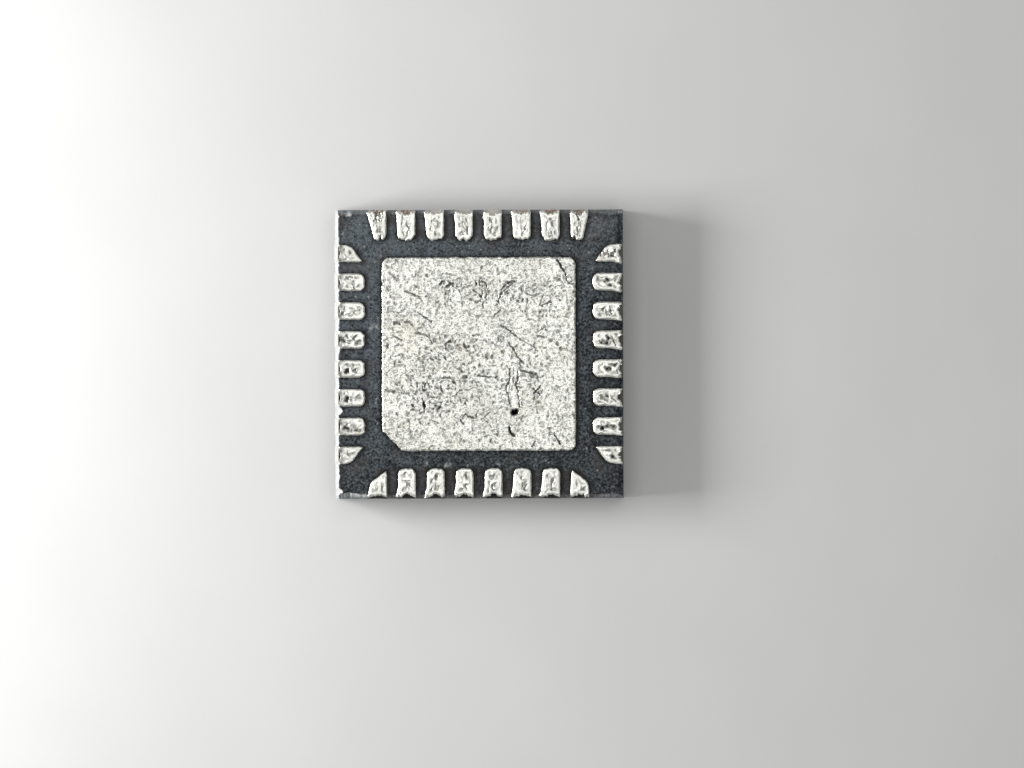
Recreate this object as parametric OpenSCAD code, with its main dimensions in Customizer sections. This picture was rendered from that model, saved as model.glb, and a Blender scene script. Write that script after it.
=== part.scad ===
// Integrated circuit in a leadless quad flat package with an exposed thermal pad.
// One etched copper frame carries the die, gold wires join the die to the leads,
// and a block of epoxy is moulded over them and sawn square.
// The package lies on its marked face, with the solder side up.

/* [Package] */
// Length of the mould body along X
body_l = 5; // [4.5:0.05:7]
// Width of the mould body along Y
body_w = 5; // [4.5:0.05:7]
// Overall height from the marked face to the soldered faces
overall_h = 0.85; // [0.75:0.01:1.2]
// Height by which the pad and the leads stand proud of the mould
standoff = 0.02; // [0.005:0.005:0.05]
// Width of the worn rim round the solder side
rim_w = 0.055; // [0.02:0.005:0.08]
// Drop of the worn rim round the solder side
rim_drop = 0.035; // [0.02:0.005:0.06]
// Diameter of the dot that marks lead 1 on the marked face
dot_d = 0.5; // [0.2:0.05:0.8]
// Depth of the dot
dot_depth = 0.015; // [0.005:0.005:0.05]
// Distance from the middle of the dot to the two nearest walls
dot_inset = 0.65; // [0.45:0.05:1.2]

/* [Copper frame] */
// Thickness of the copper sheet
frame_t = 0.2; // [0.15:0.01:0.25]
// Depth etched away from the solder side of the flange, the lead tips and the tie bars
etch_depth = 0.1; // [0.07:0.01:0.14]
// Width of the tie bars that run from the paddle to the corners
tie_bar_w = 0.16; // [0.1:0.01:0.2]

/* [Leads] */
// Distance from one lead to the next
lead_pitch = 0.5; // [0.4:0.01:0.8]
// Least distance from a corner to the middle of the row's end lead
corner_room = 0.75; // [0.7:0.01:1.2]
// Width of a lead
lead_w = 0.3; // [0.2:0.01:0.36]
// Length of a lead's soldered face, measured from the wall
lead_len = 0.52; // [0.4:0.01:0.6]
// Corner radius at the inner end of a lead
lead_corner_r = 0.09; // [0.03:0.01:0.095]
// Length of the half-etched tip beyond the soldered face
tip_len = 0.08; // [0.04:0.01:0.15]
// Length of the outer flank of the slanted end leads in three rows, from the wall to their corner
end_flank_len = 0.275; // [0.2:0.005:0.35]
// Length of the inner flank of the slanted end leads, from the wall to their tip
end_tip_len = 0.49; // [0.44:0.01:0.6]
// Radius that rounds the corner of the slanted end leads
end_corner_r = 0.2; // [0.05:0.01:0.3]
// Distance by which the outer flanks of the second row's end leads lean in
end_lean = 0.1; // [0.04:0.01:0.16]
// Distance kept from the corner diagonal by the end leads of the second row
end_cut = 0.14; // [0.12:0.01:0.28]
// Radius of the half-round dimple in the outer end of a lead
dimple_r = 0.1; // [0.04:0.01:0.12]
// Depth of the dimple below the soldered face
dimple_depth = 0.06; // [0.02:0.01:0.12]

/* [Thermal pad] */
// Gap between the soldered faces of the leads and the pad
pad_gap = 0.305; // [0.29:0.005:0.6]
// Corner radius of the pad
pad_corner_r = 0.13; // [0.04:0.01:0.25]
// Leg of the cut corner that points to lead 1
pad_chamfer = 0.35; // [0.2:0.01:0.6]
// Width of the half-etched flange round the pad
flange_w = 0.1; // [0.05:0.01:0.16]

/* [Die] */
// Length of the die along X
die_l = 2.4; // [1.8:0.05:2.9]
// Width of the die along Y
die_w = 2.4; // [1.8:0.05:2.9]
// Thickness of the die
die_t = 0.25; // [0.15:0.01:0.3]
// Thickness of the die attach under the die
attach_t = 0.025; // [0.015:0.005:0.05]
// Distance that the die attach spreads out beyond the die
attach_spread = 0.08; // [0.03:0.01:0.12]
// Height that the die attach climbs up the walls of the die
attach_climb = 0.1; // [0.03:0.01:0.13]
// Thickness of the die attach at the top of its climb
attach_lip = 0.01; // [0.005:0.005:0.025]

/* [Bond wires] */
// Diameter of a bond wire
wire_d = 0.025; // [0.018:0.001:0.04]
// Height of the wire's loop above the die
loop_h = 0.14; // [0.11:0.01:0.18]
// Radius of the bend at the top of the loop
bend_r = 0.06; // [0.04:0.005:0.08]
// Diameter of the squashed ball on the die
ball_d = 0.07; // [0.05:0.005:0.09]
// Height of the squashed ball
ball_h = 0.016; // [0.01:0.002:0.024]
// Diameter of the flattened stitch on the lead
stitch_d = 0.06; // [0.045:0.005:0.08]
// Height of the flattened stitch
stitch_h = 0.016; // [0.01:0.002:0.024]
// Distance from the middle of a ball to the nearest edge of the die
bond_inset = 0.08; // [0.06:0.01:0.2]
// Distance from a corner of the die to the first and last ball along an edge
bond_margin = 0.36; // [0.2:0.01:0.6]
// Distance from the middle of a stitch to the wall
stitch_inset = 0.25; // [0.1:0.01:0.27]

/* [Hidden] */
$fn = 48;
// Sides of the swept wire and straight steps in its bend
wire_sides = 8;
bend_steps = 3;
// Cutting shapes run past the faces that they open by this much
over = 0.1;
// Share of a pitch by which a row may miss its last lead's room, against rounding
count_slack = 0.001;

pad_l = body_l - 2 * (lead_len + pad_gap);
pad_w = body_w - 2 * (lead_len + pad_gap);
die_z = frame_t + attach_t;
die_top = die_z + die_t;

// The four rows run anticlockwise from lead 1, seen with the marked face up
rows = [0, 1, 2, 3];
function row_turn(row) = 90 * (row - 1);
function runs_along_y(row) = row % 2 == 0;
function wall_distance(row) = (runs_along_y(row) ? body_l : body_w) / 2;
function row_half(row) = (runs_along_y(row) ? body_w : body_l) / 2;
function leans(row) = row == 1;
// A row holds as many leads as its wall has room for, and their numbers run on from row to row
function leads_in(row) = floor(2 * (row_half(row) - corner_room) / lead_pitch + count_slack) + 1;
function last_lead(row) = row < 0 ? 0 : last_lead(row - 1) + leads_in(row);
function first_lead(row) = last_lead(row - 1) + 1;
function row_of(lead, row = 0) = lead <= last_lead(row) ? row : row_of(lead, row + 1);
// Place in the row, counted in leads from its middle
function place_in_row(lead) = let (row = row_of(lead)) lead - (first_lead(row) + last_lead(row)) / 2;
lead_count = last_lead(len(rows) - 1);

function two_digits(n) = n < 10 ? str("0", n) : str(n);
function lead_name(lead) = str("lead_", two_digits(lead));
function wires_name(row) =
    str("bond_wires_", two_digits(first_lead(row)), "_", two_digits(last_lead(row)));

mould_colour = [0.25, 0.27, 0.28];
tin_colour = [0.80, 0.80, 0.77];
attach_colour = [0.62, 0.62, 0.60];
silicon_colour = [0.30, 0.32, 0.38];
gold_colour = [0.85, 0.66, 0.28];

// Everything is drawn standing on its soldered faces and turned over in one place
module turned_over() {
    translate([0, 0, overall_h]) rotate([180, 0, 0]) children();
}

// Section of the sawn block across one pair of walls, from a chosen height up,
// with the worn rim's slope carried down to that height
function rim_section(half, low) =
    let (slope_top = standoff + rim_drop)
    let (inset = rim_w * (slope_top - low) / rim_drop)
    [
        [-half, overall_h], [-half, slope_top], [inset - half, low],
        [half - inset, low], [half, slope_top], [half, overall_h]
    ];

// The sawn block with its worn rim, as two crossing prisms
module sawn_block(low) {
    intersection() {
        rotate([90, 0, 0])
            linear_extrude(body_w, center = true) polygon(rim_section(body_l / 2, low));
        rotate([90, 0, 90])
            linear_extrude(body_l, center = true) polygon(rim_section(body_w / 2, low));
    }
}

// Rectangle with round corners
module round_rectangle(l, w, r) {
    square([l - 2 * r, w], center = true);
    square([l, w - 2 * r], center = true);
    for (x = [-1, 1], y = [-1, 1])
        translate([x * (l / 2 - r), y * (w / 2 - r)]) circle(r);
}

// Outline of the pad grown by a margin, with the corner at lead 1 cut off.
// The cut edge moves out by the margin too, so its leg grows by less than the sides do.
module pad_outline(margin) {
    l = pad_l + 2 * margin;
    w = pad_w + 2 * margin;
    leg = pad_chamfer + margin * (2 - sqrt(2));
    difference() {
        round_rectangle(l, w, pad_corner_r + margin);
        translate([-l / 2, w / 2]) rotate(45) square(leg * sqrt(2), center = true);
    }
}

// Four bars on the corner diagonals, from inside the paddle to past the corners
module tie_bars() {
    reach = (lead_len + pad_gap + pad_chamfer) * sqrt(2);
    for (x = [-1, 1], y = [-1, 1])
        translate([x * body_l / 2, y * body_w / 2]) rotate(atan2(-y, -x))
            translate([-over, -tie_bar_w / 2]) square([reach + over, tie_bar_w]);
}

// The etched paddle before sawing: full thickness at the pad, half of it elsewhere
module paddle_form(below) {
    translate([0, 0, -below]) linear_extrude(frame_t + below) pad_outline(0);
    translate([0, 0, etch_depth]) linear_extrude(frame_t - etch_depth) {
        pad_outline(flange_w);
        tie_bars();
    }
}

// Outline of one lead: its outer end runs past the wall at 0, its inner end is rounded
module lead_outline(reach) {
    flat = lead_w - 2 * lead_corner_r;
    translate([-lead_w / 2, -over]) square([lead_w, reach - lead_corner_r + over]);
    translate([-flat / 2, -over]) square([flat, reach + over]);
    for (side = [-1, 1])
        translate([side * flat / 2, reach - lead_corner_r]) circle(lead_corner_r);
}

// Room for a row's leads, between a line at each end that comes in by the slope on its way inwards
module row_room(half, slope, reach) {
    outer = half + slope * over;
    inner = half - slope * reach;
    polygon([[-outer, -over], [outer, -over], [inner, reach], [-inner, reach]]);
}

// Room for a row whose end leads lean in, and stop short of the corner diagonals.
// The leaning flanks start in from the wall, level with the dimple's inner end.
module leaning_room(flank, half, reach) {
    lean = end_lean / (lead_len - dimple_r);
    intersection() {
        row_room(flank + lean * dimple_r, lean, reach);
        row_room(half - end_cut * sqrt(2), 1, reach);
    }
}

// Room for a row whose end leads are slanted, with an arc from each outer flank to the slant
module slanted_room(flank, reach) {
    turn = atan2(lead_w, end_tip_len - end_flank_len);
    tangent = end_corner_r * tan(turn / 2);
    arc_start = end_flank_len - tangent;
    arc_end = [flank - tangent * sin(turn), end_flank_len + tangent * cos(turn)];
    inner = flank - (reach - end_flank_len) * tan(turn);
    right = [[flank, -over], [flank, arc_start], arc_end, [inner, reach]];
    left = [for (i = [len(right) - 1:-1:0]) [-right[i][0], right[i][1]]];
    polygon(concat(right, left));
    for (side = [-1, 1])
        translate([side * (flank - end_corner_r), arc_start]) circle(end_corner_r);
}

// A lead's outline in its row, cut back where it comes near a corner
module lead_in_row(lead, reach) {
    row = row_of(lead);
    flank = place_in_row(last_lead(row)) * lead_pitch + lead_w / 2;
    intersection() {
        translate([place_in_row(lead) * lead_pitch, 0]) lead_outline(reach);
        if (leans(row)) leaning_room(flank, row_half(row), reach);
        else slanted_room(flank, reach);
    }
}

// Moves a row's own frame, with the wall along X and inwards as Y, to its side
module at_row(row) {
    rotate(row_turn(row)) translate([0, -wall_distance(row), 0]) children();
}

// One etched lead before sawing: full thickness at the soldered face, half at its tip
module lead_form(lead, below) {
    at_row(row_of(lead)) {
        translate([0, 0, -below])
            linear_extrude(frame_t + below) lead_in_row(lead, lead_len);
        translate([0, 0, etch_depth])
            linear_extrude(frame_t - etch_depth) lead_in_row(lead, lead_len + tip_len);
    }
}

// Half-round dimple that the saw opens in the outer end of a lead
module dimple(lead) {
    at_row(row_of(lead)) translate([place_in_row(lead) * lead_pitch, 0, -over])
        cylinder(r = dimple_r, h = dimple_depth + over);
}

// One lead as the saw leaves it, flush with the wall and worn at the rim
module lead_solid(lead) {
    difference() {
        intersection() {
            lead_form(lead, 0);
            sawn_block(0);
        }
        dimple(lead);
    }
}

// The die, sawn square from its wafer
module die_solid() {
    translate([-die_l / 2, -die_w / 2, die_z]) cube([die_l, die_w, die_t]);
}

// Section of the die attach across one pair of the die's walls
function attach_section(die_side) =
    let (top = die_side / 2 + attach_lip, foot = die_side / 2 + attach_spread)
    let (rise = attach_t + attach_climb)
    [[-foot, 0], [foot, 0], [foot, attach_t / 2], [top, rise], [-top, rise], [-foot, attach_t / 2]];

// The die attach with the room that the die takes filled in
module attach_form() {
    translate([0, 0, frame_t]) intersection() {
        rotate([90, 0, 0])
            linear_extrude(die_w + 2 * attach_spread, center = true)
                polygon(attach_section(die_l));
        rotate([90, 0, 90])
            linear_extrude(die_l + 2 * attach_spread, center = true)
                polygon(attach_section(die_w));
    }
}

// A wire's line from the ball to the stitch, in its own upright plane: up the neck,
// round the bend and straight down to the lead, which lies a drop below the die.
// The bend turns until the straight run, a tangent to it, meets the stitch.
function wire_line(span, drop) =
    let (end = [span, wire_d / 2 - drop], middle = [bend_r, loop_h - bend_r])
    let (away = end - middle)
    let (slope = atan2(-away[1], away[0]) + asin(bend_r / norm(away)))
    let (step = (90 + slope) / bend_steps)
    concat(
        [[0, ball_h / 2]],
        [for (i = [0:bend_steps]) middle + bend_r * [-cos(i * step), sin(i * step)]],
        [end]
    );

function heading(a, b) = atan2(b[1] - a[1], b[0] - a[0]);
function heading_before(line, i) = heading(line[max(i - 1, 0)], line[max(i, 1)]);
function heading_after(line, i) =
    let (last = len(line) - 1) heading(line[min(i, last - 1)], line[min(i + 1, last)]);

// Round wire swept along a line in the XZ plane, mitred where the line turns
module swept_wire(line) {
    last = len(line) - 1;
    points = [
        for (i = [0:last])
            let (before = heading_before(line, i), after = heading_after(line, i))
            let (mid = (before + after) / 2, reach = wire_d / 2 / cos((before - after) / 2))
            for (k = [0:wire_sides - 1])
                let (a = 360 * (k + 0.5) / wire_sides)
                [
                    line[i][0] - reach * cos(a) * sin(mid),
                    wire_d / 2 * sin(a),
                    line[i][1] + reach * cos(a) * cos(mid)
                ]
    ];
    sides = [
        for (i = [0:last - 1], k = [0:wire_sides - 1])
            let (a = i * wire_sides, next = (k + 1) % wire_sides)
            [a + k, a + next, a + wire_sides + next, a + wire_sides + k]
    ];
    first_end = [for (k = [wire_sides - 1:-1:0]) k];
    last_end = [for (k = [0:wire_sides - 1]) last * wire_sides + k];
    polyhedron(points, concat([first_end], sides, [last_end]));
}

// The wire of one lead: squashed ball on the die, loop, and flattened stitch on the lead
module wire_solid(lead) {
    row = row_of(lead);
    die_edge = (runs_along_y(row) ? die_l : die_w) / 2;
    die_row = runs_along_y(row) ? die_w : die_l;
    ball_pitch = (die_row - 2 * bond_margin) / (leads_in(row) - 1);
    ball = [place_in_row(lead) * ball_pitch, wall_distance(row) - die_edge + bond_inset];
    stitch = [place_in_row(lead) * lead_pitch, stitch_inset];
    span = norm(stitch - ball);
    drop = die_top - frame_t;
    at_row(row) translate([ball[0], ball[1], die_top]) rotate(heading(ball, stitch)) {
        cylinder(d = ball_d, h = ball_h);
        swept_wire(wire_line(span, drop));
        translate([span, 0, -drop]) cylinder(d = stitch_d, h = stitch_h);
    }
}

// Epoxy block moulded round all the rest, with the dot beside lead 1 on its marked face
module mould_body() {
    color(mould_colour) turned_over() difference() {
        sawn_block(standoff);
        for (lead = [1:lead_count]) lead_form(lead, over);
        paddle_form(over);
        attach_form();
        die_solid();
        for (lead = [1:lead_count]) wire_solid(lead);
        translate([dot_inset - body_l / 2, body_w / 2 - dot_inset, overall_h - dot_depth])
            cylinder(d = dot_d, h = dot_depth + over);
    }
}

// Paddle with the thermal pad, its flange and the tie bars, sawn off at the corners
module die_paddle() {
    color(tin_colour) turned_over() intersection() {
        paddle_form(0);
        sawn_block(0);
    }
}

// Silver filled epoxy that glues the die to the paddle and climbs its walls
module die_attach() {
    color(attach_colour) turned_over() difference() {
        attach_form();
        die_solid();
    }
}

// Silicon chip on the die attach
module silicon_die() {
    color(silicon_colour) turned_over() die_solid();
}

// One of the tin plated leads
module lead(number) {
    color(tin_colour) turned_over() lead_solid(number);
}

// The wires of one row
module bond_wires(row) {
    color(gold_colour) turned_over()
        for (lead = [first_lead(row):last_lead(row)]) wire_solid(lead);
}

mould_body();
die_paddle();
die_attach();
silicon_die();
for (number = [1:lead_count])
    lead(number);
for (row = rows)
    bond_wires(row);
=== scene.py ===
import math
import random

import bmesh
import bpy
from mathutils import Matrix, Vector, geometry, kdtree, noise


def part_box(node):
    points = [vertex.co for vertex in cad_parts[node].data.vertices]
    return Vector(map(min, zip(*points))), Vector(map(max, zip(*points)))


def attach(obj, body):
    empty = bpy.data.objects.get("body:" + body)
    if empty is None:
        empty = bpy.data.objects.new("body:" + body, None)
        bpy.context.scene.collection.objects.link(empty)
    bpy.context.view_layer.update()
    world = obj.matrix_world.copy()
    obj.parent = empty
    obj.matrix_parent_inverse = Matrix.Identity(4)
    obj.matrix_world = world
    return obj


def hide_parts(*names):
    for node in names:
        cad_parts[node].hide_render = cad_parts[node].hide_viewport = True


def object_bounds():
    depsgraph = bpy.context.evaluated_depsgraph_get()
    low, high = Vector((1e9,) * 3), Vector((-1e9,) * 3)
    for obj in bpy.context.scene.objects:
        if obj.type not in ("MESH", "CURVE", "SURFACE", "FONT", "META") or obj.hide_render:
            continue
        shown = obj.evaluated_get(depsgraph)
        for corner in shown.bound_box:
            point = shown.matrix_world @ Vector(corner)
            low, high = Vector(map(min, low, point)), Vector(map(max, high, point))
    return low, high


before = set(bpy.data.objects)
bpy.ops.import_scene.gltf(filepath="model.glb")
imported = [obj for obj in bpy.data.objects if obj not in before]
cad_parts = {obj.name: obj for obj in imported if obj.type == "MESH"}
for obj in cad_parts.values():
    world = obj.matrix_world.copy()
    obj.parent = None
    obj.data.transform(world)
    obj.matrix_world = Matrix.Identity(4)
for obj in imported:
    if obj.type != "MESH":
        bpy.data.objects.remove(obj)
cad_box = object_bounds()

# Die paddle and thermal pad: one piece of etched copper strip. The pad is its bare face on the solder
# side, plated with matte tin, whose worm-like grain is scuffed, gouged and pitted by handling.
# The rest of the piece lies inside the mould, keyed in by its thinner flange and tie bars.
# Lengths on the part are in millimetres, and mm turns them into metres
mm = 0.001
same_level = 1e-7
solder_level = cad_box[1].z
wall = cad_box[1].x / mm
pad_grid = 0.0110
pad_round_over = 0.05
pad_round_depth = 0.012
pad_ragged = 0.017
pad_ragged_size = 0.036
pad_roughness = 0.78
pad_swell = 0.002
grain_bend = 0.03
grain_bend_size = 0.09
worm_size = 0.088
worm_width = 0.19
worm_depth = 0.0075
worm_soil_and_shade = 0.62
pebble_size = 0.043
pebble_depth = 0.0060
pebble_soil_and_shade = 0.42
# How far the points inside a face stray, and keep from its edge, in shares of the grid
grid_stray = 0.3
grid_room = 0.6

tin_white = (0.97, 0.97, 0.905, 1.0)
tin_grey = (0.35, 0.355, 0.33, 1.0)
tin_warm = (0.74, 0.68, 0.52, 1.0)
# Near black, for dirt and for painted shade in hollows and crevices
grime_and_shade = (0.006, 0.005, 0.005, 1.0)
copper_sawn = (0.42, 0.25, 0.17, 1.0)

# Scratches and gouges: half width and depth in micrometres, how dark in per cent, and the points along each
pad_marks = [
    (22, 12, 97, [(1.37, 1.62), (1.45, 1.49), (1.52, 1.37)]),
    (16, 8, 77, [(1.52, 1.37), (1.52, 1.28), (1.56, 1.22), (1.64, 1.21)]),
    (18, 10, 92, [(0.25, 0.64), (0.31, 0.70), (0.39, 0.78)]),
    (15, 6, 72, [(1.06, 0.85), (1.09, 0.95), (1.13, 1.03)]),
    (17, 9, 87, [(1.11, 0.84), (1.23, 0.91), (1.27, 0.89)]),
    (18, 9, 92, [(0.38, 0.50), (0.50, 0.43), (0.58, 0.36)]),
    (14, 6, 72, [(0.58, 0.36), (0.68, 0.28), (0.80, 0.21), (0.99, 0.10)]),
    (14, 6, 72, [(0.99, 0.36), (1.14, 0.46)]),
    (14, 6, 67, [(0.99, 0.32), (1.14, 0.29)]),
    (16, 7, 77, [(-1.27, 1.09), (-1.09, 1.02), (-1.00, 0.97), (-0.97, 0.90)]),
    (16, 8, 82, [(-1.06, 0.73), (-0.93, 0.64), (-0.82, 0.56)]),
    (14, 5, 62, [(-0.56, 1.39), (-0.39, 1.36)]),
    (30, 5, 57, [(-1.55, 1.41), (-1.47, 1.35), (-1.41, 1.28)]),
    (15, 7, 77, [(-0.68, -0.41), (-0.49, -0.41)]),
    (14, 6, 72, [(-1.61, -0.63), (-1.39, -0.66), (-1.20, -0.69)]),
    (16, 7, 82, [(-0.02, -0.37), (0.08, -0.38), (0.16, -0.40), (0.32, -0.40)]),
    (17, 12, 82, [(0.54, -0.26), (0.54, -0.46), (0.48, -0.54), (0.48, -0.61), (0.55, -0.91)]),
    (17, 12, 82, [(0.68, -0.29), (0.68, -0.46), (0.64, -0.52), (0.68, -0.65), (0.70, -0.92)]),
    (10, 6, 72, [(0.60, -0.24), (0.60, -0.45), (0.57, -0.62)]),
    (18, 8, 82, [(0.71, -0.28), (0.88, -0.32), (1.01, -0.35), (1.03, -0.49)]),
    (20, 9, 87, [(0.93, -0.60), (0.99, -0.65), (1.06, -0.70)]),
    (20, 9, 87, [(1.07, -0.56), (0.99, -0.65), (0.95, -0.68)]),
    (24, 22, 100, [(0.52, -1.27), (0.55, -1.36), (0.62, -1.42)]),
    (14, 6, 67, [(1.21, -1.41), (1.30, -1.37)]),
    (21, 10, 95, [(1.30, -1.38), (1.36, -1.48), (1.41, -1.57)]),
    (16, 7, 72, [(0.93, -1.59), (0.98, -1.52)]),
    (17, 8, 87, [(0.52, 0.20), (0.60, 0.08), (0.66, -0.02), (0.78, -0.18)]),
    (27, 12, 95, [(-0.68, 1.21), (-0.63, 1.25), (-0.58, 1.25)]),
    (25, 10, 90, [(-0.55, 1.17), (-0.50, 1.21), (-0.45, 1.22), (-0.43, 1.18)]),
    (14, 8, 80, [(-0.45, 1.17), (-0.33, 1.10), (-0.32, 1.04)]),
    (20, 12, 100, [(-0.05, 1.27), (-0.03, 1.21)]),
    (20, 12, 100, [(0.02, 1.27), (0.03, 1.20)]),
    (18, 10, 90, [(0.05, 1.26), (0.12, 1.24), (0.14, 1.19)]),
    (12, 8, 80, [(0.06, 1.19), (0.07, 0.95)]),
    (12, 8, 80, [(0.13, 1.20), (0.13, 0.93)]),
    (20, 10, 85, [(-0.10, 1.11), (-0.02, 1.06), (0.05, 0.99)]),
    (14, 7, 65, [(-0.29, 1.13), (-0.10, 1.20)]),
    (14, 7, 75, [(-0.29, 1.24), (-0.29, 1.18)]),
    (18, 9, 85, [(0.34, 0.91), (0.39, 1.03), (0.42, 1.15), (0.51, 1.235)]),
    (27, 12, 100, [(0.53, 1.23), (0.62, 1.25), (0.65, 1.25)]),
    (16, 8, 80, [(0.44, 1.09), (0.53, 1.18), (0.60, 1.22)]),
    (14, 8, 80, [(0.60, 1.01), (0.60, 0.94)]),
    (22, 10, 85, [(0.33, 0.92), (0.35, 0.90)]),
    (20, 8, 75, [(0.67, 0.93), (0.69, 0.91)]),
    (12, 6, 60, [(-0.52, 1.09), (-0.53, 0.83)]),
    (12, 6, 60, [(-0.29, 0.98), (-0.29, 0.80)]),
    (15, 8, 80, [(0.08, 0.90), (0.08, 0.80)]),
    (24, 10, 80, [(-1.46, 0.53), (-1.41, 0.55), (-1.36, 0.53)]),
    (24, 10, 75, [(-1.28, 0.55), (-1.20, 0.56), (-1.14, 0.50)]),
    (16, 7, 75, [(-1.49, 0.33), (-1.33, 0.23)]),
    (22, 8, 80, [(-1.57, 0.17), (-1.57, 0.11)]),
    (18, 8, 85, [(-1.46, -0.14), (-1.45, -0.20)]),
    (24, 8, 70, [(-1.07, 0.37), (-0.97, 0.35), (-0.88, 0.31)]),
    (14, 8, 85, [(-0.85, 0.35), (-0.86, 0.26), (-0.80, 0.19)]),
    (22, 10, 90, [(-0.26, 0.17), (-0.22, 0.11), (-0.18, 0.13)]),
    (16, 8, 80, [(-0.12, 0.32), (0.01, 0.33)]),
    (14, 7, 80, [(-0.84, -0.06), (-0.79, -0.10)]),
    (14, 7, 80, [(-0.75, -0.05), (-0.70, -0.11), (-0.66, -0.09)]),
    (14, 14, 90, [(-0.98, -0.77), (-0.95, -0.86)]),
    (28, 30, 100, [(-0.955, -0.84), (-0.935, -0.93)]),
    (11, 8, 80, [(-0.94, -0.94), (-0.94, -1.01)]),
    (26, 12, 95, [(-1.16, -0.88), (-1.11, -0.92)]),
    (18, 9, 90, [(-1.07, -0.50), (-1.07, -0.57)]),
    (18, 9, 90, [(-0.97, -0.57), (-0.97, -0.63), (-0.91, -0.61)]),
    (17, 9, 90, [(-0.92, -0.51), (-0.93, -0.57)]),
    (17, 9, 90, [(-0.87, -0.52), (-0.86, -0.57)]),
    (17, 9, 90, [(-1.07, -0.77), (-1.07, -0.82)]),
    (18, 9, 90, [(-0.65, -0.57), (-0.64, -0.64)]),
    (13, 6, 65, [(-0.88, -0.74), (-0.70, -0.74)]),
    (14, 8, 75, [(-0.49, -0.82), (-0.41, -0.87)]),
    (14, 8, 75, [(-0.61, -0.99), (-0.55, -1.02)]),
    (18, 9, 85, [(-0.29, -1.11), (-0.23, -1.03), (-0.18, -1.09), (-0.05, -1.11)]),
    (20, 9, 85, [(-0.32, -1.13), (-0.27, -1.21)]),
    (18, 9, 90, [(-0.04, -1.05), (-0.04, -1.10)]),
    (16, 7, 75, [(0.04, -1.13), (0.20, -1.00)]),
    (15, 8, 75, [(-0.41, -0.71), (-0.30, -0.61)]),
]
# Pits and blots: radius, depth and how dark in the same units, and the middle
pad_spots = [
    (65, 60, 100, (0.60, -1.01)),
    (60, 60, 100, (0.64, -1.00)),
    (28, 12, 80, (1.415, 0.105)),
    (75, 8, 50, (0.38, 0.26)),
    (50, 8, 60, (-0.76, 0.25)),
    (90, 4, 42, (-0.54, 0.12)),
    (70, 4, 42, (-0.36, 0.13)),
    (55, 7, 60, (0.14, -0.04)),
    (45, 7, 55, (0.23, -0.05)),
    (45, 7, 55, (0.41, 0.04)),
    (35, 8, 65, (-0.85, -0.39)),
    (65, 8, 65, (0.93, -0.37)),
]
# Where the tin is rougher than elsewhere, and where it is stained yellow: radius, share, middle
pad_rough = [
    (1.00, 0.32, (-0.60, -0.40)), (0.50, 0.32, (0.70, -0.40)), (0.32, 0.30, (-0.55, 1.10)),
    (0.28, 0.30, (0.02, 1.10)), (0.32, 0.30, (0.52, 1.10)), (0.45, 0.25, (1.05, 0.90)),
]
pad_stains = [
    (0.30, 0.75, (-1.27, 0.42)), (0.16, 0.60, (-0.74, 0.22)), (0.22, 0.55, (-0.20, 0.06)),
    (0.20, 0.50, (-0.06, 1.12)), (0.20, 0.35, (-0.35, -0.62)), (0.16, 0.35, (0.72, -1.02)),
]
# Where a tool has slid and burnished the tin
burnish_half = 0.058
burnish_depth = 0.010
burnish_line = [(0.61, -0.22), (0.61, -0.44), (0.57, -0.58), (0.62, -0.92)]
mark_reach = 0.1
mark_stray = 0.018
mark_stray_size = 0.045
# The ridge beside a gouge: place and half width in half widths of the gouge, height in its depths
ridge_at = 1.7
ridge_half = 0.7
ridge_height = 0.4


def lumps(x, y, size, layer):
    """Smooth noise from -1 to 1 whose lumps are about this size. Each layer is a noise of its own."""
    return noise.noise(Vector((x / size, y / size, 7.3 * layer)))


def held(share):
    """A share kept between none and all."""
    return max(0.0, min(1.0, share))


def opened(node, level, grid):
    """A copy of a node's mesh without its flat faces at this height, the hole's edges cut to the grid."""
    bm = bmesh.new()
    bm.from_mesh(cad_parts[node].data)
    bmesh.ops.remove_doubles(bm, verts=bm.verts, dist=1e-8)
    bm.normal_update()
    flat = [f for f in bm.faces if f.normal.z > 0.999 and abs(f.calc_center_median().z - level) < same_level]
    bmesh.ops.delete(bm, geom=flat, context="FACES")
    for edge in [e for e in bm.edges if e.is_boundary]:
        cut_edge(edge, grid)
    return bm


def cut_edge(edge, grid):
    """Splits one edge into equal lengths no longer than the grid."""
    end = edge.verts[0]
    for left in range(math.ceil(edge.calc_length() / (grid * mm)), 1, -1):
        end = bmesh.utils.edge_split(edge, end, 1 / left)[1]


def rim_of(bm):
    """The points round an open hole, each once."""
    return list(dict.fromkeys(v for e in bm.edges if e.is_boundary for v in e.verts))


def search_tree(points):
    """Points on a face, set up for finding the nearest."""
    near = kdtree.KDTree(len(points))
    for i, p in enumerate(points):
        near.insert(p.to_3d(), i)
    near.balance()
    return near


def uncrossed(bm, homes):
    """Draws points of the hole's edge back towards their homes until no two lengths of it cross."""
    lines = [e for e in bm.edges if e.is_boundary]
    crossing = True
    while crossing:
        ends = [[v.co.xy / mm for v in e.verts] for e in lines]
        near = search_tree([(a + b) / 2 for a, b in ends])
        longest = max((a - b).length for a, b in ends)
        crossing = set()
        for i, (a, b) in enumerate(ends):
            for _, j, _ in near.find_range(((a + b) / 2).to_3d(), longest):
                apart = not set(lines[i].verts) & set(lines[j].verts)
                if j > i and apart and geometry.intersect_line_line_2d(a, b, *ends[j]):
                    crossing.update(lines[i].verts, lines[j].verts)
        for vert in crossing:
            vert.co = vert.co.lerp(homes[vert], 0.5)


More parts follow.
